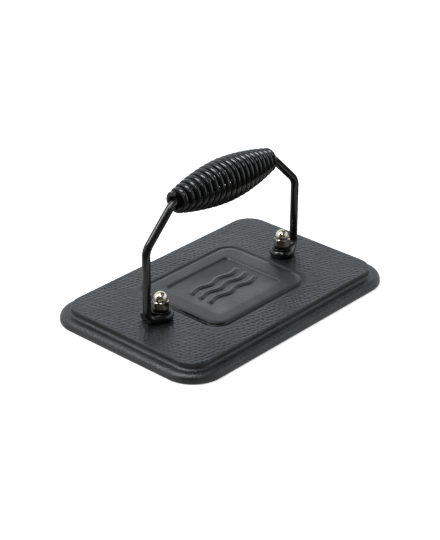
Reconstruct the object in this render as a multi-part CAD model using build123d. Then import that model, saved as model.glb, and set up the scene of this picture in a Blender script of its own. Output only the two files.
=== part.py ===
from build123d import *
import math
import os

# Cast-iron bacon press: a rounded rectangular plate with a raised slab and a
# centre panel, a bent wire handle held down by two studs and cap nuts, and a
# barrel-shaped coil of wire that turns freely on the handle as its grip.
#
# Millimetres, +Z up, X along the long side.
# Origin: centre of the plate's flat underside.

# Plate casting
plate_length = 229.0
plate_width = 154.0
flange_height = 7.2
flange_corner_radius = 26.0
flange_top_round = 4.6
flange_bottom_round = 1.2
slab_inset = 9.0
slab_height = 12.7
slab_corner_radius = 16.5
slab_top_round = 0.5

# Centre panel: raised, with a shallow moat round it and a sunk field inside
badge_end_gap = 8.2
badge_width = 81.6
badge_corner_radius = 11.0
badge_rise = 0.8
badge_top_round = 0.6
moat_width = 4.4
moat_depth = 1.0
field_margin_x = 15.2
field_margin_y = 11.4
field_corner_radius = 5.0
field_depth = 1.1

# Relief of plain bars in the sunk field
bar_count = 3
bar_length = 46.0
bar_width = 5.4
bar_spacing = 9.2
bar_rise = 0.7

# Studs, screwed into blind tapped holes
stud_spacing = 138.0
stud_diameter = 6.35
stud_depth = 8.0
stud_reach_in_nut = 7.6
stud_chamfer = 0.6
thread_clearance = 0.08

# Washers
flat_washer_diameter = 15.9
flat_washer_thickness = 1.3
flat_washer_clearance = 0.4
flat_washer_round = 0.3
lock_washer_diameter = 12.4
lock_washer_thickness = 1.4
lock_washer_clearance = 0.15
lock_washer_gap = 0.8

# Cap nuts
nut_across_flats = 11.1
nut_hex_height = 6.0
nut_chamfer_drop = 0.8
nut_dome_diameter = 10.9
nut_dome_neck = 1.4
nut_tip_gap = 0.9

# Wire handle
rod_diameter = 6.35
eye_clearance = 0.35
leg_offset = 14.2
eye_tail_length = 12.0
foot_bend_radius = 6.5
shoulder_height = 60.8
handle_height = 88.8
handle_bend_radius = 12.0
rod_end_round = 0.8

# Coil grip
grip_wire_diameter = 4.0
grip_wire_span = 106.0
grip_turns = 19.5
grip_barrel_diameter = 33.6
grip_bore_clearance = 1.25
grip_barrel_fullness = 1.8
grip_end_on_bend = 3.0
grip_sides_per_turn = 8
grip_bend_share = 0.9
grip_wire_end_round = 0.5

# Worked out from the values above
stud_x = stud_spacing / 2
rod_radius = rod_diameter / 2
stud_radius = stud_diameter / 2
eye_radius = stud_radius + eye_clearance + rod_radius
eye_outer_radius = eye_radius + rod_radius
eye_z = slab_height + rod_radius
leg_x = stud_x + leg_offset
shoulder_z = slab_height + shoulder_height
grip_axis_z = slab_height + handle_height
slab_length = plate_length - 2 * slab_inset
slab_width = plate_width - 2 * slab_inset
badge_length = stud_spacing - 2 * (eye_outer_radius + badge_end_gap)
badge_top_z = slab_height + badge_rise
field_floor_z = badge_top_z - field_depth
field_length = badge_length - 2 * field_margin_x
field_width = badge_width - 2 * field_margin_y
flat_washer_z = slab_height + rod_diameter
lock_washer_z = flat_washer_z + flat_washer_thickness
nut_z = lock_washer_z + lock_washer_thickness
stud_bottom_z = slab_height - stud_depth
stud_top_z = nut_z + stud_reach_in_nut
SIDES = {"left": -1, "right": 1}


def rounded_block(length, width, corner_radius, bottom_z, top_z):
    """A block with round upright corners, standing between two heights."""
    outline = RectangleRounded(length, width, corner_radius)
    return Pos(0, 0, bottom_z) * extrude(outline, top_z - bottom_z)


def top_edges(solid):
    return solid.edges().group_by(Axis.Z)[-1]


def bottom_edges(solid):
    return solid.edges().group_by(Axis.Z)[0]


def build_flange():
    flange = rounded_block(plate_length, plate_width, flange_corner_radius, 0, flange_height)
    flange = fillet(bottom_edges(flange), flange_bottom_round)
    return fillet(top_edges(flange), flange_top_round)


def build_slab():
    slab = rounded_block(
        slab_length, slab_width, slab_corner_radius, flange_height / 2, slab_height
    )
    return fillet(top_edges(slab), slab_top_round)


def build_moat():
    """The pocket that leaves a groove round the foot of the centre panel."""
    return rounded_block(
        badge_length + 2 * moat_width,
        badge_width + 2 * moat_width,
        badge_corner_radius + moat_width,
        slab_height - moat_depth,
        slab_height,
    )


def build_badge():
    """The raised centre panel, before its field is sunk."""
    badge = rounded_block(
        badge_length, badge_width, badge_corner_radius, flange_height, badge_top_z
    )
    return fillet(top_edges(badge), badge_top_round)


def build_field():
    """The pocket for the sunk field in the centre panel."""
    return rounded_block(field_length, field_width, field_corner_radius, field_floor_z, badge_top_z)


def build_relief():
    """Plain bars with round ends, side by side across the sunk field."""
    bar = extrude(SlotOverall(bar_length, bar_width), field_floor_z + bar_rise - flange_height)
    rows = [(row - (bar_count - 1) / 2) * bar_spacing for row in range(bar_count)]
    return [Pos(0, y, flange_height) * bar for y in rows]


def build_press_plate():
    """The whole casting, with the two tapped holes for the studs."""
    plate = build_flange() + build_slab() - build_moat() + build_badge() - build_field()
    for bar in build_relief():
        plate += bar
    hole = extrude(Circle(stud_radius + thread_clearance), stud_depth)
    for side in SIDES.values():
        plate -= Pos(side * stud_x, 0, stud_bottom_z) * hole
    return plate


def eye_path(side):
    """The open end of the handle on one side.

    A tail runs in behind the leg, then an arc goes round the stud, up to the
    point where the wire leaves the eye on its way to the leg.
    """
    centre = Vector(side * stud_x, 0, eye_z)
    lean = math.asin(eye_radius / leg_offset)
    tail_end = centre + Vector(side * eye_tail_length, eye_radius, 0)
    arc_start = centre + Vector(0, eye_radius, 0)
    arc_middle = centre + Vector(-side * eye_radius, 0, 0)
    leave = centre + Vector(side * eye_radius * math.sin(lean), -eye_radius * math.cos(lean), 0)
    tail = Line(tail_end, arc_start)
    return tail, ThreePointArc(arc_start, arc_middle, leave), leave


def find_handle_corner():
    """Where the handle's level top line would meet its slanting shoulder line.

    The top bend starts a set distance in from the grip's end, whatever the
    grip's length, and the shoulder line leaves that bend on a tangent.
    """
    bend_start_x = grip_wire_span / 2 - grip_end_on_bend
    run = leg_x - bend_start_x
    rise = grip_axis_z - shoulder_z
    slope = math.sqrt(run**2 + rise * (rise - 2 * handle_bend_radius))
    half_turn_tangent = rise / (run + slope)
    return bend_start_x + handle_bend_radius * half_turn_tangent


def build_handle_rod():
    """One wire from eye to eye, up both legs and across the top."""
    left_tail, left_arc, left_leave = eye_path(-1)
    right_tail, right_arc, right_leave = eye_path(1)
    corner_x = find_handle_corner()
    corners = [
        left_leave,
        (-leg_x, 0, eye_z),
        (-leg_x, 0, shoulder_z),
        (-corner_x, 0, grip_axis_z),
        (corner_x, 0, grip_axis_z),
        (leg_x, 0, shoulder_z),
        (leg_x, 0, eye_z),
        right_leave,
    ]
    bends = [foot_bend_radius] + 4 * [handle_bend_radius] + [foot_bend_radius]
    bow = FilletPolyline(*corners, radius=bends)
    path = Wire([left_tail, left_arc, *bow.edges(), right_arc, right_tail])
    section = Plane(origin=path @ 0, z_dir=path % 0) * Circle(rod_radius)
    rod = sweep(section, path)
    ends = [face.edges()[0] for face in rod.faces() if face.geom_type == GeomType.PLANE]
    rod = fillet(ends, rod_end_round)
    print("handle_rod wire length", round(path.length, 2))
    print("handle_rod volume against its wire", round(rod.volume / (section.area * path.length), 4))
    return rod


def grip_radius(x):
    """Distance from the grip's axis to the middle of its wire."""
    middle = (grip_barrel_diameter - grip_wire_diameter) / 2
    end = rod_radius + grip_bore_clearance + grip_wire_diameter / 2
    along = min(abs(x) / (grip_wire_span / 2), 1.0)
    return end + (middle - end) * (1 - along**grip_barrel_fullness)


def build_coil_grip():
    """A coil of wire wound along X, narrow at both ends and wide in the middle.

    Its path is a run of short straights joined by tangent arcs, so that it
    follows the barrel turn by turn.
    """
    side_angle = 2 * math.pi / grip_sides_per_turn
    side_count = round(grip_turns * grip_sides_per_turn)
    reach = 1 / math.cos(side_angle / 2)
    points = []
    for side in range(side_count + 1):
        x = grip_wire_span * (side / side_count - 0.5)
        angle = side * side_angle
        radius = grip_radius(x) * reach
        points.append((x, radius * math.sin(angle), grip_axis_z + radius * math.cos(angle)))
    bends = [grip_bend_share * grip_radius(point[0]) for point in points[1:-1]]
    path = FilletPolyline(*points, radius=bends)
    section = Plane(origin=path @ 0, z_dir=path % 0) * Circle(grip_wire_diameter / 2)
    coil = sweep(section, path)
    ends = [face.edges()[0] for face in coil.faces() if face.geom_type == GeomType.PLANE]
    coil = fillet(ends, grip_wire_end_round)
    print("coil_grip volume against its wire", round(coil.volume / (section.area * path.length), 4))
    return coil


def build_stud(x):
    stud = extrude(Circle(stud_radius), stud_top_z - stud_bottom_z)
    stud = chamfer(stud.edges().filter_by(GeomType.CIRCLE), stud_chamfer)
    return Pos(x, 0, stud_bottom_z) * stud


def build_flat_washer(x):
    washer = extrude(Circle(flat_washer_diameter / 2), flat_washer_thickness)
    washer = fillet(washer.edges().filter_by(GeomType.CIRCLE), flat_washer_round)
    washer -= Cylinder(stud_radius + flat_washer_clearance, 3 * flat_washer_thickness)
    return Pos(x, 0, flat_washer_z) * washer


def build_lock_washer(x):
    washer = extrude(Circle(lock_washer_diameter / 2), lock_washer_thickness)
    washer -= Cylinder(stud_radius + lock_washer_clearance, 3 * lock_washer_thickness)
    slit = Box(lock_washer_gap, lock_washer_diameter, 3 * lock_washer_thickness)
    washer -= Rot(0, 0, 35) * Pos(0, -lock_washer_diameter / 2, 0) * slit
    return Pos(x, 0, lock_washer_z) * washer


def build_nut_envelope():
    """The turned shape of the nut: chamfered hexagon below, dome above."""
    corner_radius = nut_across_flats / 2 / math.cos(math.radians(30))
    flat_radius = nut_across_flats / 2
    dome_radius = nut_dome_diameter / 2
    with BuildSketch(Plane.XZ) as outline:
        with BuildLine():
            Polyline(
                (0, 0),
                (flat_radius, 0),
                (corner_radius, nut_chamfer_drop / 2),
                (corner_radius, nut_hex_height - nut_chamfer_drop),
                (dome_radius, nut_hex_height),
                (dome_radius, nut_hex_height + nut_dome_neck),
            )
            RadiusArc(
                (dome_radius, nut_hex_height + nut_dome_neck),
                (0, nut_hex_height + nut_dome_neck + dome_radius),
                -dome_radius,
            )
            Line((0, nut_hex_height + nut_dome_neck + dome_radius), (0, 0))
        make_face()
    return revolve(outline.sketch, Axis.Z)


def build_cap_nut(x):
    total_height = nut_hex_height + nut_dome_neck + nut_dome_diameter / 2
    hexagon = RegularPolygon(nut_across_flats / 2, 6, major_radius=False)
    nut = build_nut_envelope() & extrude(hexagon, total_height)
    bore_depth = stud_reach_in_nut + nut_tip_gap
    bore = extrude(Circle(stud_radius + thread_clearance), bore_depth)
    return Pos(x, 0, nut_z) * (nut - bore)


os.makedirs("parts", exist_ok=True)
nodes = {
    "press_plate": build_press_plate(),
    "handle_rod": build_handle_rod(),
    "coil_grip": build_coil_grip(),
}
for name, side in SIDES.items():
    nodes[name + "_stud"] = build_stud(side * stud_x)
    nodes[name + "_flat_washer"] = build_flat_washer(side * stud_x)
    nodes[name + "_lock_washer"] = build_lock_washer(side * stud_x)
    nodes[name + "_cap_nut"] = build_cap_nut(side * stud_x)
for name, node in nodes.items():
    export_step(node, "parts/" + name + ".step")
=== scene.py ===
import logging
import math
from dataclasses import dataclass, field
from enum import Enum

import bpy
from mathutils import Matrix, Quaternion, Vector, noise


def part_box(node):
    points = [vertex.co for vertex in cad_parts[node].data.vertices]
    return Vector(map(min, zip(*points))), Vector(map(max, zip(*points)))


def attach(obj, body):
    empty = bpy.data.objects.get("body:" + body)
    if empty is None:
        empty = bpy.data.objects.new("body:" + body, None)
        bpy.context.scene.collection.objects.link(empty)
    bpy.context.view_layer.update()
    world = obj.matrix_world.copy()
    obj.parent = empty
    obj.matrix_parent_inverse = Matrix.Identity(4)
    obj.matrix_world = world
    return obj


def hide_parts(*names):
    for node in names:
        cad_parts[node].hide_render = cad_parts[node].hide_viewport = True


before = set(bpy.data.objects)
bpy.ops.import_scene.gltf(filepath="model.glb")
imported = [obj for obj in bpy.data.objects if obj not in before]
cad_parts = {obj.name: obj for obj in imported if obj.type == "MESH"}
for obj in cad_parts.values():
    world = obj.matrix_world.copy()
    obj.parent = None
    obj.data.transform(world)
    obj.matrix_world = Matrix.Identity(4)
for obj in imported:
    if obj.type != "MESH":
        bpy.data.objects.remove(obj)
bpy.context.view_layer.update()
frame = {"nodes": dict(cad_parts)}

LOG = logging.getLogger("bacon_press")
MM = 0.001
NEAR = 0.01 * MM
SMOOTH_ANGLE = math.radians(40)
SLIVER = 1e-7
MANY_SIDES = 8
NEARLY_LEVEL = 0.9


class Slot(Enum):
    """A material slot named in the record; nothing in this script fills it."""

    PLATE = "cast_plate"


class Effect(Enum):
    """The shared surface effects, each a shader node group."""

    CAST_GRAIN = "cast grain"
    EDGE_RUB = "edge rub"
    SMUDGE = "grease smudge"


# ---------------------------------------------------------------- node helpers


@dataclass
class NodeTree:
    """A shader tree with short calls to add and join nodes."""

    tree: bpy.types.NodeTree

    def add(self, kind: str, **settings: object) -> bpy.types.Node:
        """Adds a node.

        Args:
            kind: the node's type name.
            settings: attributes to set on the node.

        Returns:
            The new node.
        """
        node = self.tree.nodes.new(kind)
        for name, value in settings.items():
            setattr(node, name, value)
        return node

    def join(self, output: bpy.types.NodeSocket, socket: bpy.types.NodeSocket) -> None:
        """Links one node's output to another node's input."""
        self.tree.links.new(output, socket)

    def math(self, operation: str, first: object, second: object = 0.0) -> bpy.types.NodeSocket:
        """Adds a Math node.

        Args:
            operation: the node's operation name.
            first: a socket or a number.
            second: a socket or a number.

        Returns:
            The node's result.
        """
        node = self.add("ShaderNodeMath", operation=operation)
        for index, value in enumerate((first, second)):
            if isinstance(value, bpy.types.NodeSocket):
                self.join(value, node.inputs[index])
            else:
                node.inputs[index].default_value = value
        return node.outputs[0]

    def ramp(self, value: bpy.types.NodeSocket, low: float, high: float,
             to_low: float = 0.0, to_high: float = 1.0) -> bpy.types.NodeSocket:
        """Maps a range of a value onto another range, smoothly.

        Args:
            value: the value to map.
            low: the value that becomes to_low.
            high: the value that becomes to_high.
            to_low: the lower result.
            to_high: the upper result.

        Returns:
            The mapped value.
        """
        node = self.add("ShaderNodeMapRange", interpolation_type="SMOOTHSTEP")
        node.inputs["From Min"].default_value = low
        node.inputs["From Max"].default_value = high
        node.inputs["To Min"].default_value = to_low
        node.inputs["To Max"].default_value = to_high
        self.join(value, node.inputs["Value"])
        return node.outputs["Result"]

    def spread(self, mask: bpy.types.NodeSocket, low: float, high: float) -> bpy.types.NodeSocket:
        """Maps a mask from 0 and 1 onto a low and a high value."""
        return self.ramp(mask, 0.0, 1.0, low, high)

    def noise(self, place: bpy.types.NodeSocket, scale: float, detail: float = 3.0,
              roughness: float = 0.5) -> bpy.types.NodeSocket:
        """Adds a noise texture.

        Args:
            place: the position to read it at.
            scale: how many waves there are in a metre.
            detail: how many finer layers it has.
            roughness: how strong the finer layers are.

        Returns:
            The noise value, about 0.5 on average.
        """
        node = self.add("ShaderNodeTexNoise")
        node.inputs["Scale"].default_value = scale
        node.inputs["Detail"].default_value = detail
        node.inputs["Roughness"].default_value = roughness
        self.join(place, node.inputs["Vector"])
        return node.outputs["Fac"]

    def mix(self, amount: bpy.types.NodeSocket, first: object,
            second: object) -> bpy.types.NodeSocket:
        """Mixes two colours.

        Args:
            amount: 0 gives the first colour and 1 the second.
            first: a colour socket, or three numbers.
            second: a colour socket, or three numbers.

        Returns:
            The mixed colour.
        """
        node = self.add("ShaderNodeMix", data_type="RGBA")
        self.join(amount, node.inputs[0])
        for socket, value in ((node.inputs[6], first), (node.inputs[7], second)):
            if isinstance(value, bpy.types.NodeSocket):
                self.join(value, socket)
            else:
                socket.default_value = (*value, 1.0)
        return node.outputs[2]


@dataclass
class EffectLibrary:
    """Builds each shared effect once and places it in materials.

    A noise is given as its scale, detail and roughness, and a range as its low and high ends.
    """

    groups: dict[Effect, bpy.types.NodeTree] = field(default_factory=dict)
    grain_detail: float = 4.0
    grain_roughness: float = 0.62
    pit_scale: float = 0.45
    pit_radius: float = 0.45
    mottle_noise: tuple[float, float, float] = (55.0, 5.0, 0.6)
    mottle_range: tuple[float, float] = (0.3, 0.7)
    patch_noise: tuple[float, float, float] = (160.0, 4.0, 0.7)
    patch_range: tuple[float, float] = (0.42, 0.62)
    smudge_detail: float = 6.0
    smudge_roughness: float = 0.65
    smudge_distortion: float = 0.6
    smudge_range: tuple[float, float] = (0.35, 0.68)

    def open_group(self, effect: Effect, inputs: dict[str, float],
                   outputs: tuple[str, ...]) -> NodeTree:
        """Starts a node group with named sockets.

        Args:
            effect: the effect that the group makes.
            inputs: the group's number inputs and their default values.
            outputs: the names of the group's outputs.

        Returns:
            The group's tree, ready for nodes.
        """
        group = bpy.data.node_groups.new(effect.value, "ShaderNodeTree")
        for name, value in inputs.items():
            socket = group.interface.new_socket(name, in_out="INPUT", socket_type="NodeSocketFloat")
            socket.default_value = value
        for name in outputs:
            group.interface.new_socket(name, in_out="OUTPUT", socket_type="NodeSocketFloat")
        self.groups[effect] = group
        return NodeTree(group)

    def cast_grain(self) -> None:
        """Makes the grain of sand-cast iron under its black coat: pits, grains and slow waves."""
        tree = self.open_group(Effect.CAST_GRAIN, {"Scale": 900.0, "Pits": 0.5}, ("Height", "Mottle"))
        given = tree.add("NodeGroupInput")
        result = tree.add("NodeGroupOutput")
        place = tree.add("ShaderNodeTexCoord").outputs["Object"]
        fine = tree.add("ShaderNodeTexNoise")
        fine.inputs["Detail"].default_value = self.grain_detail
        fine.inputs["Roughness"].default_value = self.grain_roughness
        tree.join(place, fine.inputs["Vector"])
        tree.join(given.outputs["Scale"], fine.inputs["Scale"])
        pits = tree.add("ShaderNodeTexVoronoi", feature="SMOOTH_F1")
        tree.join(place, pits.inputs["Vector"])
        tree.join(tree.math("MULTIPLY", given.outputs["Scale"], self.pit_scale), pits.inputs["Scale"])
        hollow = tree.ramp(pits.outputs["Distance"], 0.0, self.pit_radius, -1.0, 0.0)
        depth = tree.math("MULTIPLY", hollow, given.outputs["Pits"])
        tree.join(tree.math("ADD", fine.outputs["Fac"], depth), result.inputs["Height"])
        mottle = tree.noise(place, *self.mottle_noise)
        tree.join(tree.ramp(mottle, *self.mottle_range), result.inputs["Mottle"])

    def edge_rub(self) -> None:
        """Makes a mask of the raised edges, where a coat wears thin."""
        tree = self.open_group(Effect.EDGE_RUB, {"Start": 0.54, "Full": 0.62}, ("Mask",))
        given = tree.add("NodeGroupInput")
        result = tree.add("NodeGroupOutput")
        place = tree.add("ShaderNodeTexCoord").outputs["Object"]
        raised = tree.add("ShaderNodeNewGeometry").outputs["Pointiness"]
        ramp = tree.add("ShaderNodeMapRange", interpolation_type="SMOOTHSTEP")
        tree.join(raised, ramp.inputs["Value"])
        tree.join(given.outputs["Start"], ramp.inputs["From Min"])
        tree.join(given.outputs["Full"], ramp.inputs["From Max"])
        patches = tree.ramp(tree.noise(place, *self.patch_noise), *self.patch_range)
        tree.join(tree.math("MULTIPLY", ramp.outputs["Result"], patches), result.inputs["Mask"])

    def smudge(self) -> None:
        """Makes soft patches where oil has dried duller than the rest."""
        tree = self.open_group(Effect.SMUDGE, {"Scale": 30.0}, ("Mask",))
        given = tree.add("NodeGroupInput")
        result = tree.add("NodeGroupOutput")
        place = tree.add("ShaderNodeTexCoord").outputs["Object"]
        cloud = tree.add("ShaderNodeTexNoise")
        cloud.inputs["Detail"].default_value = self.smudge_detail
        cloud.inputs["Roughness"].default_value = self.smudge_roughness
        cloud.inputs["Distortion"].default_value = self.smudge_distortion
        tree.join(place, cloud.inputs["Vector"])
        tree.join(given.outputs["Scale"], cloud.inputs["Scale"])
        tree.join(tree.ramp(cloud.outputs["Fac"], *self.smudge_range), result.inputs["Mask"])

    def build(self) -> None:
        """Builds every shared effect."""
        self.cast_grain()
        self.edge_rub()
        self.smudge()

    def place(self, effect: Effect, tree: NodeTree, **values: float) -> bpy.types.Node:
        """Places an effect in a material.

        Args:
            effect: the effect wanted.
            tree: the material's tree.
            values: the effect's inputs for this material.

        Returns:
            The group node.
        """
        node = tree.add("ShaderNodeGroup", node_tree=self.groups[effect])
        for name, value in values.items():
            node.inputs[name].default_value = value
        return node


def new_material(name: str) -> tuple[bpy.types.Material, NodeTree, bpy.types.Node]:
    """Starts a material with one Principled shader.

    Args:
        name: the material's name.

    Returns:
        The material, its tree and its shader node.
    """
    material = bpy.data.materials.new(name)
    material.use_nodes = True
    tree = NodeTree(material.node_tree)
    return material, tree, material.node_tree.nodes["Principled BSDF"]


def bump(tree: NodeTree, height: bpy.types.NodeSocket, depth: float,
         shader: bpy.types.Node) -> None:
    """Adds a bump to a shader's normal.

    Args:
        tree: the material's tree.
        height: the height pattern.
        depth: how deep the pattern is, in metres.
        shader: the shader to roughen.
    """
    node = tree.add("ShaderNodeBump")
    node.inputs["Distance"].default_value = depth
    tree.join(height, node.inputs["Height"])
    tree.join(node.outputs["Normal"], shader.inputs["Normal"])


# -------------------------------------------------------------------- finishes


@dataclass(frozen=True)
class SeasonedIron:
    """Black seasoned cast iron: dark, semi-gloss, grainy, faintly rubbed on its edges."""

    dark: tuple[float, float, float] = (0.004, 0.0044, 0.0046)
    dusty: tuple[float, float, float] = (0.012, 0.013, 0.0135)
    rubbed: tuple[float, float, float] = (0.050, 0.048, 0.044)
    rub_strength: float = 0.4
    rub_start: float = 0.53
    rub_full: float = 0.60
    gloss_roughness: float = 0.26
    dull_roughness: float = 0.38
    smudge_scale: float = 26.0
    grain_scale: float = 1100.0
    grain_pits: float = 0.35
    grain_depth: float = 0.28 * MM
    sand_top: float = 9.2 * MM
    sand_fade: float = 1.0 * MM
    slab_grain: float = 0.35

    def build(self, effects: EffectLibrary) -> bpy.types.Material:
        """Makes the material.

        Args:
            effects: the shared effects.

        Returns:
            The material.
        """
        material, tree, shader = new_material("seasoned iron")
        grain = effects.place(Effect.CAST_GRAIN, tree, Scale=self.grain_scale, Pits=self.grain_pits)
        smudge = effects.place(Effect.SMUDGE, tree, Scale=self.smudge_scale)
        rub = effects.place(Effect.EDGE_RUB, tree, Start=self.rub_start, Full=self.rub_full)
        colour = tree.mix(grain.outputs["Mottle"], self.dark, self.dusty)
        worn = tree.math("MULTIPLY", rub.outputs["Mask"], self.rub_strength)
        tree.join(tree.mix(worn, colour, self.rubbed), shader.inputs["Base Color"])
        tree.join(tree.spread(smudge.outputs["Mask"], self.gloss_roughness, self.dull_roughness),
                  shader.inputs["Roughness"])
        place = tree.add("ShaderNodeSeparateXYZ")
        tree.join(tree.add("ShaderNodeTexCoord").outputs["Object"], place.inputs[0])
        sand = tree.ramp(place.outputs["Z"], self.sand_top - self.sand_fade, self.sand_top,
                         1.0, self.slab_grain)
        bump(tree, tree.math("MULTIPLY", grain.outputs["Height"], sand), self.grain_depth, shader)
        return material


@dataclass(frozen=True)
class BlackEnamel:
    """Gloss black baked enamel on wire, with a faint orange-peel and dulled patches."""

    name: str = "black enamel"
    colour: tuple[float, float, float] = (0.0016, 0.0016, 0.0016)
    chalky: tuple[float, float, float] = (0.0045, 0.0045, 0.0042)
    gloss_roughness: float = 0.08
    dull_roughness: float = 0.16
    smudge_scale: float = 60.0
    peel_scale: float = 420.0
    peel_depth: float = 0.012 * MM

    def build(self, effects: EffectLibrary) -> bpy.types.Material:
        """Makes the material.

        Args:
            effects: the shared effects.

        Returns:
            The material.
        """
        material, tree, shader = new_material(self.name)
        place = tree.add("ShaderNodeTexCoord").outputs["Object"]
        mask = effects.place(Effect.SMUDGE, tree, Scale=self.smudge_scale).outputs["Mask"]
        tree.join(tree.mix(mask, self.colour, self.chalky), shader.inputs["Base Color"])
        tree.join(tree.spread(mask, self.gloss_roughness, self.dull_roughness),
                  shader.inputs["Roughness"])
        bump(tree, tree.noise(place, self.peel_scale), self.peel_depth, shader)
        return material


@dataclass(frozen=True)
class PlatedSteel:
    """Plated or bare steel, from bright nickel to dark zinc, with fine turning marks."""

    name: str
    colour: tuple[float, float, float]
    tarnish: tuple[float, float, float]
    bright_roughness: float
    dull_roughness: float
    smudge_scale: float = 220.0
    mark_scale: float = 1800.0
    mark_depth: float = 0.01 * MM

    def build(self, effects: EffectLibrary) -> bpy.types.Material:
        """Makes the material.

        Args:
            effects: the shared effects.

        Returns:
            The material.
        """
        material, tree, shader = new_material(self.name)
        place = tree.add("ShaderNodeTexCoord").outputs["Object"]
        mask = effects.place(Effect.SMUDGE, tree, Scale=self.smudge_scale).outputs["Mask"]
        tree.join(tree.mix(mask, self.colour, self.tarnish), shader.inputs["Base Color"])
        tree.join(tree.spread(mask, self.bright_roughness, self.dull_roughness),
                  shader.inputs["Roughness"])
        shader.inputs["Metallic"].default_value = 1.0
        bump(tree, tree.noise(place, self.mark_scale, 2.0), self.mark_depth, shader)
        return material


# --------------------------------------------------------------- mesh helpers


def clear_selection() -> None:
    """Leaves edit mode and deselects every object."""
    if bpy.context.object is not None and bpy.context.object.mode != "OBJECT":
        bpy.ops.object.mode_set(mode="OBJECT")
    bpy.ops.object.select_all(action="DESELECT")


def make_active(piece: bpy.types.Object) -> None:
    """Selects one object and makes it the active one."""
    clear_selection()
    piece.select_set(True)
    bpy.context.view_layer.objects.active = piece


def settle(piece: bpy.types.Object) -> None:
    """Applies a piece's place to its mesh, so that the object sits at the origin."""
    make_active(piece)
    bpy.ops.object.transform_apply(location=True, rotation=True, scale=True)


def quarter_steps(radius: float, count: int, inward_first: bool) -> list[tuple[float, float]]:
    """Splits a round of a quarter circle into small steps.

    Args:
        radius: the round's radius.
        count: the number of steps.
        inward_first: True for a hollow cove, False for a rounded edge.

    Returns:
        Steps of (inwards, upwards).
    """
    steps = []
    for index in range(count):
        start, end = (math.pi / 2 * (index + k) / count for k in (0, 1))
        near = radius * (math.sin(end) - math.sin(start))
        far = radius * (math.cos(start) - math.cos(end))
        steps.append((near, far) if inward_first else (far, near))
    return steps


def soft_steps(width: float, rise: float, count: int) -> list[tuple[float, float]]:
    """Splits a slope that starts and ends level into small steps.

    Args:
        width: the slope's width.
        rise: its height, below zero for a fall.
        count: the number of steps.

    Returns:
        Steps of (inwards, upwards).
    """
    turns = [math.cos(math.pi * index / count) for index in range(count + 1)]
    return [(width / count, rise * (start - end) / 2) for start, end in zip(turns, turns[1:])]


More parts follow.
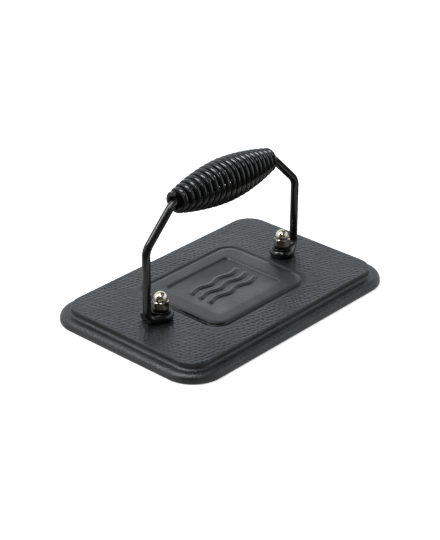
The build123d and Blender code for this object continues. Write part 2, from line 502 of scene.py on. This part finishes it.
@dataclass
class PressCasting:
    """The iron casting: rounded flange, hammered slab, centre panel and its relief."""

    bottom_round: float = 1.2 * MM
    corner_radius: float = 26.0 * MM
    flange_height: float = 7.2 * MM
    flange_round: float = 4.6 * MM
    wall_cove: float = 2.2 * MM
    wall_draft: float = 0.1 * MM
    slab_inset: float = 9.0 * MM
    slab_height: float = 12.7 * MM
    slab_round: float = 0.5 * MM
    panel_length: float = 101.85 * MM
    panel_width: float = 81.6 * MM
    panel_radius: float = 11.0 * MM
    panel_rise: float = 0.8 * MM
    moat_width: float = 5.0 * MM
    moat_fall: float = 4.3 * MM
    moat_depth: float = 1.0 * MM
    panel_round: float = 0.35 * MM
    panel_rings: int = 3
    fall_steps: int = 8
    rise_steps: int = 12
    field_margin_x: float = 15.2 * MM
    field_margin_y: float = 11.4 * MM
    field_radius: float = 5.0 * MM
    field_depth: float = 1.1 * MM
    field_wall: float = 1.5 * MM
    bottom_steps: int = 4
    flange_steps: int = 12
    flat_steps: int = 2
    cove_steps: int = 10
    wall_steps: int = 3
    slab_steps: int = 5
    corner_segments: int = 26
    long_divisions: tuple[int, int] = (14, 16)
    short_divisions: tuple[int, int] = (8, 16)
    slab_rings: int = 62
    hammer_depth: float = 0.2 * MM
    hammer_spacing: float = 4.2 * MM
    hammer_drift: float = 14.0 * MM
    hammer_stray: float = 2.2 * MM
    hammer_jitter: float = 0.9 * MM
    hammer_lump: float = 3.0 * MM
    hammer_lumpiness: float = 0.4
    hammer_leans: tuple[float, ...] = (15.0, 75.0, 135.0)
    hammer_fade: float = 1.6 * MM
    strip_count: int = 3
    strip_length: float = 58.0 * MM
    strip_width: float = 6.4 * MM
    strip_spacing: float = 9.6 * MM
    strip_rise: float = 1.0 * MM
    strip_root: float = 0.3 * MM
    strip_wave: float = 1.3 * MM
    strip_bends: float = 2.5
    strip_end_width: float = 0.55
    strip_crown: float = 0.86
    strip_streak: float = 0.16
    strip_end_power: int = 14
    strip_dome_power: int = 4
    strip_tip_power: int = 24
    strip_cuts: tuple[int, int] = (96, 12)

    def rounded_outline(self, length: float, width: float, radius: float, height: float) -> None:
        """Adds a rounded rectangular face in edit mode, and leaves only that face selected.

        Args:
            length: its size along X.
            width: its size along Y.
            radius: its corner radius.
            height: its height.
        """
        bpy.ops.mesh.select_all(action="DESELECT")
        bpy.ops.mesh.primitive_plane_add(size=1.0, location=(0, 0, height))
        bpy.ops.transform.resize(value=(length, width, 1.0))
        bpy.ops.mesh.bevel(offset=radius, offset_type="OFFSET", segments=self.corner_segments,
                           profile=0.5, affect="VERTICES")
        bpy.ops.mesh.delete(type="ONLY_FACE")
        for axis, passes in ((0, self.long_divisions), (1, self.short_divisions)):
            straight = (length, width)[axis] - 2 * radius
            self.select_outline(height, axis, straight)
            for divisions in passes:
                bpy.ops.mesh.subdivide(number_cuts=divisions - 1)
        self.select_outline(height)
        bpy.ops.mesh.edge_face_add()
        if not self.select_flat_face(height, 1.0):
            self.select_flat_face(height, -1.0)
            bpy.ops.mesh.flip_normals()

    def select_outline(self, height: float, axis: int = 0, straight: float | None = None) -> None:
        """Selects the loose edges at a height: all of them, or only two straight sides.

        Args:
            height: the edges' height.
            axis: the straight sides' direction, 0 for X and 1 for Y.
            straight: the straight sides' length, or None for every loose edge.
        """
        piece = bpy.context.edit_object
        bpy.ops.mesh.select_mode(type="EDGE")
        bpy.ops.mesh.select_all(action="DESELECT")
        bpy.ops.object.mode_set(mode="OBJECT")
        mesh = piece.data
        for edge in mesh.edges:
            ends = [mesh.vertices[index].co for index in edge.vertices]
            level = edge.is_loose and all(abs(end.z - height) < NEAR for end in ends)
            along = abs(ends[0][axis] - ends[1][axis])
            edge.select = level and (straight is None or abs(along - straight) < NEAR)
        bpy.ops.object.mode_set(mode="EDIT")

    def select_flat_face(self, height: float, facing: float) -> int:
        """Selects the level many-sided face at a height.

        Args:
            height: the face's height.
            facing: 1 for a face that looks up and -1 for one that looks down.

        Returns:
            The number of faces found.
        """
        piece = bpy.context.edit_object
        bpy.ops.mesh.select_mode(type="FACE")
        bpy.ops.mesh.select_all(action="DESELECT")
        bpy.ops.object.mode_set(mode="OBJECT")
        found = 0
        for face in piece.data.polygons:
            many_sided = len(face.vertices) > MANY_SIDES
            face.select = (many_sided and abs(face.center.z - height) < NEAR
                           and face.normal.z * facing > NEARLY_LEVEL)
            found += face.select
        bpy.ops.object.mode_set(mode="EDIT")
        return found

    def run_profile(self, steps: list[tuple[float, float]]) -> None:
        """Carries the selected face through a row of insets.

        Args:
            steps: each step's (inwards, outwards along the face's normal).
        """
        for inwards, along in steps:
            bpy.ops.mesh.inset(thickness=max(inwards, SLIVER), depth=along, use_boundary=True,
                               use_even_offset=True)

    def build_body(self, length: float, width: float) -> None:
        """Makes the flange and the slab's walls from the outline, in edit mode.

        Args:
            length: the flange's length.
            width: the flange's width.
        """
        self.rounded_outline(length, width, self.corner_radius, self.bottom_round)
        side = self.flange_height - self.flange_round - self.bottom_round
        bpy.ops.mesh.extrude_region_move(TRANSFORM_OT_translate={"value": (0, 0, side)})
        bpy.ops.mesh.select_all(action="SELECT")
        bpy.ops.mesh.normals_make_consistent(inside=False)
        self.select_flat_face(self.bottom_round + side, 1.0)
        self.run_profile(quarter_steps(self.flange_round, self.flange_steps, inward_first=False))
        flat = self.slab_inset - self.flange_round - self.wall_cove - self.wall_draft
        self.run_profile([(flat / self.flat_steps, 0.0)] * self.flat_steps)
        self.run_profile(quarter_steps(self.wall_cove, self.cove_steps, inward_first=True))
        rise = self.slab_height - self.flange_height - self.wall_cove - self.slab_round
        wall_step = (self.wall_draft / self.wall_steps, rise / self.wall_steps)
        self.run_profile([wall_step] * self.wall_steps)
        self.run_profile(quarter_steps(self.slab_round, self.slab_steps, inward_first=False))
        bpy.ops.mesh.delete(type="ONLY_FACE")
        self.select_flat_face(self.bottom_round, -1.0)
        self.run_profile(quarter_steps(self.bottom_round, self.bottom_steps, inward_first=False))

    def build_panel(self) -> None:
        """Makes the moat, the centre panel and its sunk field, in edit mode."""
        ring = self.moat_width
        self.rounded_outline(self.panel_length + 2 * ring, self.panel_width + 2 * ring,
                             self.panel_radius + ring, self.slab_height)
        self.run_profile(soft_steps(self.moat_fall, -self.moat_depth, self.fall_steps))
        self.run_profile(soft_steps(ring - self.moat_fall + self.panel_round,
                                    self.moat_depth + self.panel_rise, self.rise_steps))
        bpy.ops.mesh.delete(type="ONLY_FACE")
        top = self.slab_height + self.panel_rise
        self.rounded_outline(self.panel_length - 2 * self.field_margin_x,
                             self.panel_width - 2 * self.field_margin_y, self.field_radius, top)
        self.run_profile(soft_steps(self.field_wall, -self.field_depth, self.fall_steps))
        self.bridge_rims(top, self.panel_rings)

    def bridge_rims(self, height: float, rings: int) -> None:
        """Joins the two open rims at a height with rings of small faces, in edit mode.

        Args:
            height: the rims' height.
            rings: how many rows of points lie between them.
        """
        mesh = bpy.context.edit_object.data
        bpy.ops.mesh.select_mode(type="EDGE")
        bpy.ops.mesh.select_all(action="DESELECT")
        bpy.ops.mesh.select_non_manifold(extend=False, use_wire=False, use_boundary=True,
                                         use_multi_face=False, use_non_contiguous=False,
                                         use_verts=False)
        bpy.ops.object.mode_set(mode="OBJECT")
        rims = [edge.index for edge in mesh.edges if edge.select
                and all(abs(mesh.vertices[index].co.z - height) < NEAR for index in edge.vertices)]
        bpy.ops.object.mode_set(mode="EDIT")
        bpy.ops.mesh.select_all(action="DESELECT")
        bpy.ops.object.mode_set(mode="OBJECT")
        for index in rims:
            mesh.edges[index].select = True
        bpy.ops.object.mode_set(mode="EDIT")
        bpy.ops.mesh.bridge_edge_loops(number_cuts=rings, interpolation="LINEAR")

    def blow_height(self, place: Vector) -> float:
        """Works out the hammered pattern: low domes in a six-sided lattice, a little astray.

        Args:
            place: a point on the slab.

        Returns:
            The pattern's height there, from about -1 to 1.
        """
        stray = noise.noise_vector(place / self.hammer_drift) * self.hammer_stray
        jitter = noise.noise_vector(place / self.hammer_spacing) * self.hammer_jitter
        turn = 2 * math.pi / (self.hammer_spacing * math.cos(math.pi / 6))
        x, y = ((place + stray + jitter) * turn).xy
        rows = [math.cos(x * math.cos(lean) + y * math.sin(lean))
                for lean in map(math.radians, self.hammer_leans)]
        return sum(rows) / len(rows) + self.hammer_lumpiness * noise.noise(place / self.hammer_lump)

    def hammer_slab(self, piece: bpy.types.Object, length: float, width: float) -> None:
        """Beats the hammered pattern into the slab's top.

        Args:
            piece: the casting.
            length: the flange's length.
            width: the flange's width.
        """
        half_slab = Vector((length / 2 - self.slab_inset, width / 2 - self.slab_inset))
        half_panel = Vector((self.panel_length / 2 + self.moat_width,
                             self.panel_width / 2 + self.moat_width))
        for vertex in piece.data.vertices:
            if abs(vertex.co.z - self.slab_height) > NEAR:
                continue
            across = Vector((abs(vertex.co.x), abs(vertex.co.y)))
            to_edge = min(half_slab.x - across.x, half_slab.y - across.y)
            to_panel = max(across.x - half_panel.x, across.y - half_panel.y)
            fade = min(to_edge - self.slab_round, to_panel) / self.hammer_fade
            if fade > 0:
                vertex.co.z += self.hammer_depth * min(fade, 1.0) * self.blow_height(vertex.co)

    def build_strip(self) -> bpy.types.Object:
        """Makes one wavy raised strip of the centre relief.

        Returns:
            The strip, at the middle of the sunk field.
        """
        clear_selection()
        floor = self.slab_height + self.panel_rise - self.field_depth
        bpy.ops.mesh.primitive_grid_add(x_subdivisions=self.strip_cuts[0],
                                        y_subdivisions=self.strip_cuts[1], size=1.0,
                                        location=(0, 0, floor - self.strip_root))
        strip = bpy.context.object
        bpy.ops.object.mode_set(mode="EDIT")
        bpy.ops.transform.resize(value=(self.strip_length, self.strip_width, 1.0))
        bpy.ops.mesh.extrude_region_move(TRANSFORM_OT_translate={"value": (0, 0, self.strip_root)})
        bpy.ops.mesh.select_all(action="SELECT")
        bpy.ops.mesh.normals_make_consistent(inside=False)
        bpy.ops.object.mode_set(mode="OBJECT")
        settle(strip)
        half_length, half_width = self.strip_length / 2, self.strip_width / 2
        for vertex in strip.data.vertices:
            along = vertex.co.x / half_length
            across = vertex.co.y / half_width
            taper = math.sqrt(max(0.0, 1 - abs(along) ** self.strip_end_power))
            dome = (1 - abs(across) ** self.strip_dome_power) * (1 - abs(along) ** self.strip_tip_power)
            streak = self.strip_streak * math.cos(across * math.pi * 2.0)
            wave = self.strip_wave * math.sin(along * math.pi * self.strip_bends)
            share = self.strip_end_width + (1 - self.strip_end_width) * taper
            vertex.co.y = vertex.co.y * share + wave
            if vertex.co.z > floor - self.strip_root / 2:
                vertex.co.z += self.strip_rise * max(0.0, dome) * (self.strip_crown + streak)
        return strip

    def build(self, material: bpy.types.Material) -> list[bpy.types.Object]:
        """Builds the casting and its relief.

        Args:
            material: the iron's finish.

        Returns:
            The pieces made.
        """
        low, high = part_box("press_plate")
        length, width = high.x - low.x, high.y - low.y
        clear_selection()
        bpy.ops.mesh.primitive_plane_add(size=1.0)
        piece = bpy.context.object
        piece.name = "press_casting"
        bpy.ops.object.mode_set(mode="EDIT")
        bpy.ops.mesh.select_all(action="SELECT")
        bpy.ops.mesh.delete(type="VERT")
        self.build_body(length, width)
        self.build_panel()
        self.bridge_rims(self.slab_height, self.slab_rings)
        bpy.ops.mesh.select_all(action="SELECT")
        bpy.ops.mesh.normals_make_consistent(inside=False)
        bpy.ops.object.mode_set(mode="OBJECT")
        settle(piece)
        self.hammer_slab(piece, length, width)
        pieces = [piece]
        first = self.build_strip()
        first.name = "panel_strip_1"
        pieces.append(first)
        for index in range(1, self.strip_count):
            copy = first.copy()
            copy.data = first.data.copy()
            copy.name = f"panel_strip_{index + 1}"
            bpy.context.scene.collection.objects.link(copy)
            pieces.append(copy)
        for index, strip in enumerate(pieces[1:]):
            strip.location.y = (index - (self.strip_count - 1) / 2) * self.strip_spacing
            settle(strip)
        for made in pieces:
            make_active(made)
            bpy.ops.object.shade_smooth_by_angle(angle=SMOOTH_ANGLE)
            made.data.materials.clear()
            made.data.materials.append(material)
            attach(made, "press")
            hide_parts("press_plate")
        return pieces


@dataclass
class CadDressing:
    """Puts finishes on the parts whose frame shape is already right."""

    nodes: dict[str, bpy.types.Object]

    def dress(self, names: tuple[str, ...], material: bpy.types.Material) -> None:
        """Gives some nodes one finish.

        Args:
            names: the nodes' names.
            material: their finish.
        """
        for name in names:
            node = self.nodes[name]
            for index in range(len(node.material_slots)):
                node.material_slots[index].material = material
            LOG.info("dressed %s in %s", name, material.name)


# --------------------------------------------------------------------- studio


@dataclass(frozen=True)
class Softbox:
    """A rectangular soft light that looks at the press."""

    name: str
    place: tuple[float, float, float]
    size: tuple[float, float]
    power: float
    target: tuple[float, float, float] = (0.0, 0.0, 0.04)

    def build(self) -> None:
        """Adds the light."""
        clear_selection()
        bpy.ops.object.light_add(type="AREA", location=self.place)
        light = bpy.context.object
        light.name = self.name
        light.data.shape = "RECTANGLE"
        light.data.size, light.data.size_y = self.size
        light.data.energy = self.power
        towards = Vector(self.target) - Vector(self.place)
        light.rotation_euler = towards.to_track_quat("-Z", "Y").to_euler()


@dataclass
class Studio:
    """A pale floor, a surround, soft lights and the camera."""

    azimuth: float = -47.86
    elevation: float = 27.90
    roll: float = 0.19
    distance: float = 1.3137
    lens: float = 113.94
    aim: tuple[float, float, float] = (0.0034, 0.0065, 0.022)
    clip_range: tuple[float, float] = (0.05, 60.0)
    softboxes: tuple[Softbox, ...] = (
        Softbox("long_strip", (-0.56, 0.40, 1.44), (0.34, 1.5), 22.0),
        Softbox("overhead", (-0.60, -0.54, 1.52), (0.55, 0.55), 5.0),
    )
    floor_size: float = 14.0
    floor_drop: float = 0.2 * MM
    floor_shade: float = 0.86
    floor_roughness: float = 0.8
    floor_glow: float = 0.5
    card_radius: float = 0.2
    card_sides: int = 64
    card_drop: float = 0.1 * MM
    card_colour: tuple[float, float, float] = (1.0, 0.98, 0.95)
    card_glow: float = 0.62
    bright_side: tuple[float, float, float] = (-0.67, 0.74, 0.0)
    below_turn: tuple[float, float] = (-0.1, 0.85)
    below_colour: tuple[float, float, float] = (0.11, 0.10, 0.08)
    below_bright_colour: tuple[float, float, float] = (0.40, 0.44, 0.48)
    wall_colour: tuple[float, float, float] = (1.13, 1.20, 1.27)
    wall_foot: tuple[float, float] = (-0.08, 0.08)
    wall_head: tuple[float, float] = (0.42, 0.74)
    ceiling_turn: tuple[float, float] = (-0.2, 0.4)
    ceiling_colour: tuple[float, float, float] = (0.22, 0.23, 0.25)
    ceiling_bright_colour: tuple[float, float, float] = (0.88, 0.93, 0.98)
    dark_side: tuple[float, float, float] = (-0.74, -0.67, 0.0)
    dark_turn: tuple[float, float] = (0.30, 0.75)
    dark_foot: tuple[float, float] = (-0.50, -0.36)
    dark_colour: tuple[float, float, float] = (0.10, 0.10, 0.09)

    def build_floor(self) -> None:
        """Makes the pale floor, which glows a little as a light table does."""
        clear_selection()
        bpy.ops.mesh.primitive_plane_add(size=self.floor_size, location=(0, 0, -self.floor_drop))
        floor = bpy.context.object
        floor.name = "pale_floor"
        material, _, shader = new_material("pale floor")
        shader.inputs["Base Color"].default_value = (*[self.floor_shade] * 3, 1.0)
        shader.inputs["Roughness"].default_value = self.floor_roughness
        shader.inputs["Emission Color"].default_value = (1.0, 1.0, 1.0, 1.0)
        shader.inputs["Emission Strength"].default_value = self.floor_glow
        floor.data.materials.append(material)
        floor.visible_glossy = False

    def build_card(self) -> None:
        """Makes the round white card that shows only in the press's reflections."""
        clear_selection()
        bpy.ops.mesh.primitive_circle_add(vertices=self.card_sides, radius=self.card_radius,
                                          fill_type="NGON", location=(0, 0, -self.card_drop))
        card = bpy.context.object
        card.name = "white_card"
        material, _, shader = new_material("white card")
        shader.inputs["Base Color"].default_value = (0.0, 0.0, 0.0, 1.0)
        shader.inputs["Emission Color"].default_value = (*self.card_colour, 1.0)
        shader.inputs["Emission Strength"].default_value = self.card_glow
        card.data.materials.append(material)
        card.visible_camera = card.visible_diffuse = card.visible_shadow = False

    def build_world(self) -> None:
        """Makes the surround that the iron reflects.

        Bright walls stand all round, except in front, where the room is dark. The ceiling is
        brighter on the bright side, and the surround is dark below. Seen directly it is white.
        """
        world = bpy.data.worlds.new("studio surround")
        bpy.context.scene.world = world
        world.use_nodes = True
        tree = NodeTree(world.node_tree)
        facing = tree.add("ShaderNodeTexCoord").outputs["Generated"]
        direction = tree.add("ShaderNodeSeparateXYZ")
        tree.join(facing, direction.inputs[0])
        height = direction.outputs["Z"]
        sideways = self.lean_towards(tree, facing, self.bright_side)
        below = tree.mix(tree.ramp(sideways, *self.below_turn), self.below_colour,
                         self.below_bright_colour)
        ceiling = tree.mix(tree.ramp(sideways, *self.ceiling_turn), self.ceiling_colour,
                           self.ceiling_bright_colour)
        walls = tree.mix(tree.ramp(height, *self.wall_foot), below, self.wall_colour)
        room = tree.mix(tree.ramp(height, *self.wall_head), walls, ceiling)
        front = tree.ramp(self.lean_towards(tree, facing, self.dark_side), *self.dark_turn)
        shade = tree.math("MULTIPLY", front, tree.ramp(height, *self.dark_foot))
        room = tree.mix(shade, room, self.dark_colour)
        seen = tree.add("ShaderNodeLightPath").outputs["Is Camera Ray"]
        background = world.node_tree.nodes["Background"]
        tree.join(tree.mix(seen, room, (1.0, 1.0, 1.0)), background.inputs["Color"])

    def lean_towards(self, tree: NodeTree, facing: bpy.types.NodeSocket,
                     side: tuple[float, float, float]) -> bpy.types.NodeSocket:
        """Measures how far a direction leans towards one side.

        Args:
            tree: the surround's tree.
            facing: the direction.
            side: the side, as a direction.

        Returns:
            1 straight towards the side and -1 straight away from it.
        """
        node = tree.add("ShaderNodeVectorMath", operation="DOT_PRODUCT")
        tree.join(facing, node.inputs[0])
        node.inputs[1].default_value = side
        return node.outputs["Value"]

    def build_camera(self) -> None:
        """Places the camera."""
        a, e = math.radians(self.azimuth), math.radians(self.elevation)
        back = Vector((math.sin(a) * math.cos(e), -math.cos(a) * math.cos(e), math.sin(e)))
        clear_selection()
        bpy.ops.object.camera_add(location=Vector(self.aim) + back * self.distance)
        camera = bpy.context.object
        camera.name = "studio_camera"
        camera.rotation_mode = "QUATERNION"
        lean = Quaternion((0, 0, 1), math.radians(self.roll))
        camera.rotation_quaternion = (-back).to_track_quat("-Z", "Y") @ lean
        camera.data.lens = self.lens
        camera.data.clip_start, camera.data.clip_end = self.clip_range
        bpy.context.scene.camera = camera

    def build(self) -> None:
        """Builds the studio."""
        self.build_floor()
        self.build_card()
        self.build_world()
        for softbox in self.softboxes:
            softbox.build()
        self.build_camera()
        bpy.context.scene.view_settings.view_transform = "Standard"


def main() -> None:
    """Builds the press piece by piece."""
    logging.basicConfig(level=logging.INFO, format="%(message)s")
    effects = EffectLibrary()
    effects.build()
    iron = SeasonedIron().build(effects)
    handle_enamel = BlackEnamel(name="handle enamel").build(effects)
    grip_enamel = BlackEnamel(name="grip enamel", chalky=(0.002, 0.002, 0.002),
                              gloss_roughness=0.12, dull_roughness=0.2).build(effects)
    nickel = PlatedSteel(name="bright nickel", colour=(0.72, 0.66, 0.55), tarnish=(0.50, 0.43, 0.33),
                         bright_roughness=0.06, dull_roughness=0.15).build(effects)
    dark_zinc = PlatedSteel(name="dark zinc", colour=(0.05, 0.05, 0.048),
                            tarnish=(0.025, 0.025, 0.023),
                            bright_roughness=0.16, dull_roughness=0.3).build(effects)
    plain_steel = PlatedSteel(name="plain steel", colour=(0.5, 0.49, 0.47), tarnish=(0.3, 0.29, 0.27),
                              bright_roughness=0.22, dull_roughness=0.4).build(effects)

    for piece in PressCasting().build(iron):
        LOG.info("built %s with %d faces", piece.name, len(piece.data.polygons))
    dressing = CadDressing(frame["nodes"])
    dressing.dress(("handle_rod",), handle_enamel)
    dressing.dress(("coil_grip",), grip_enamel)
    dressing.dress(("left_cap_nut", "right_cap_nut"), nickel)
    dressing.dress(("left_flat_washer", "right_flat_washer", "left_lock_washer", "right_lock_washer"),
                   dark_zinc)
    dressing.dress(("left_stud", "right_stud"), plain_steel)
    Studio().build()


if __name__ == "__main__":
    main()
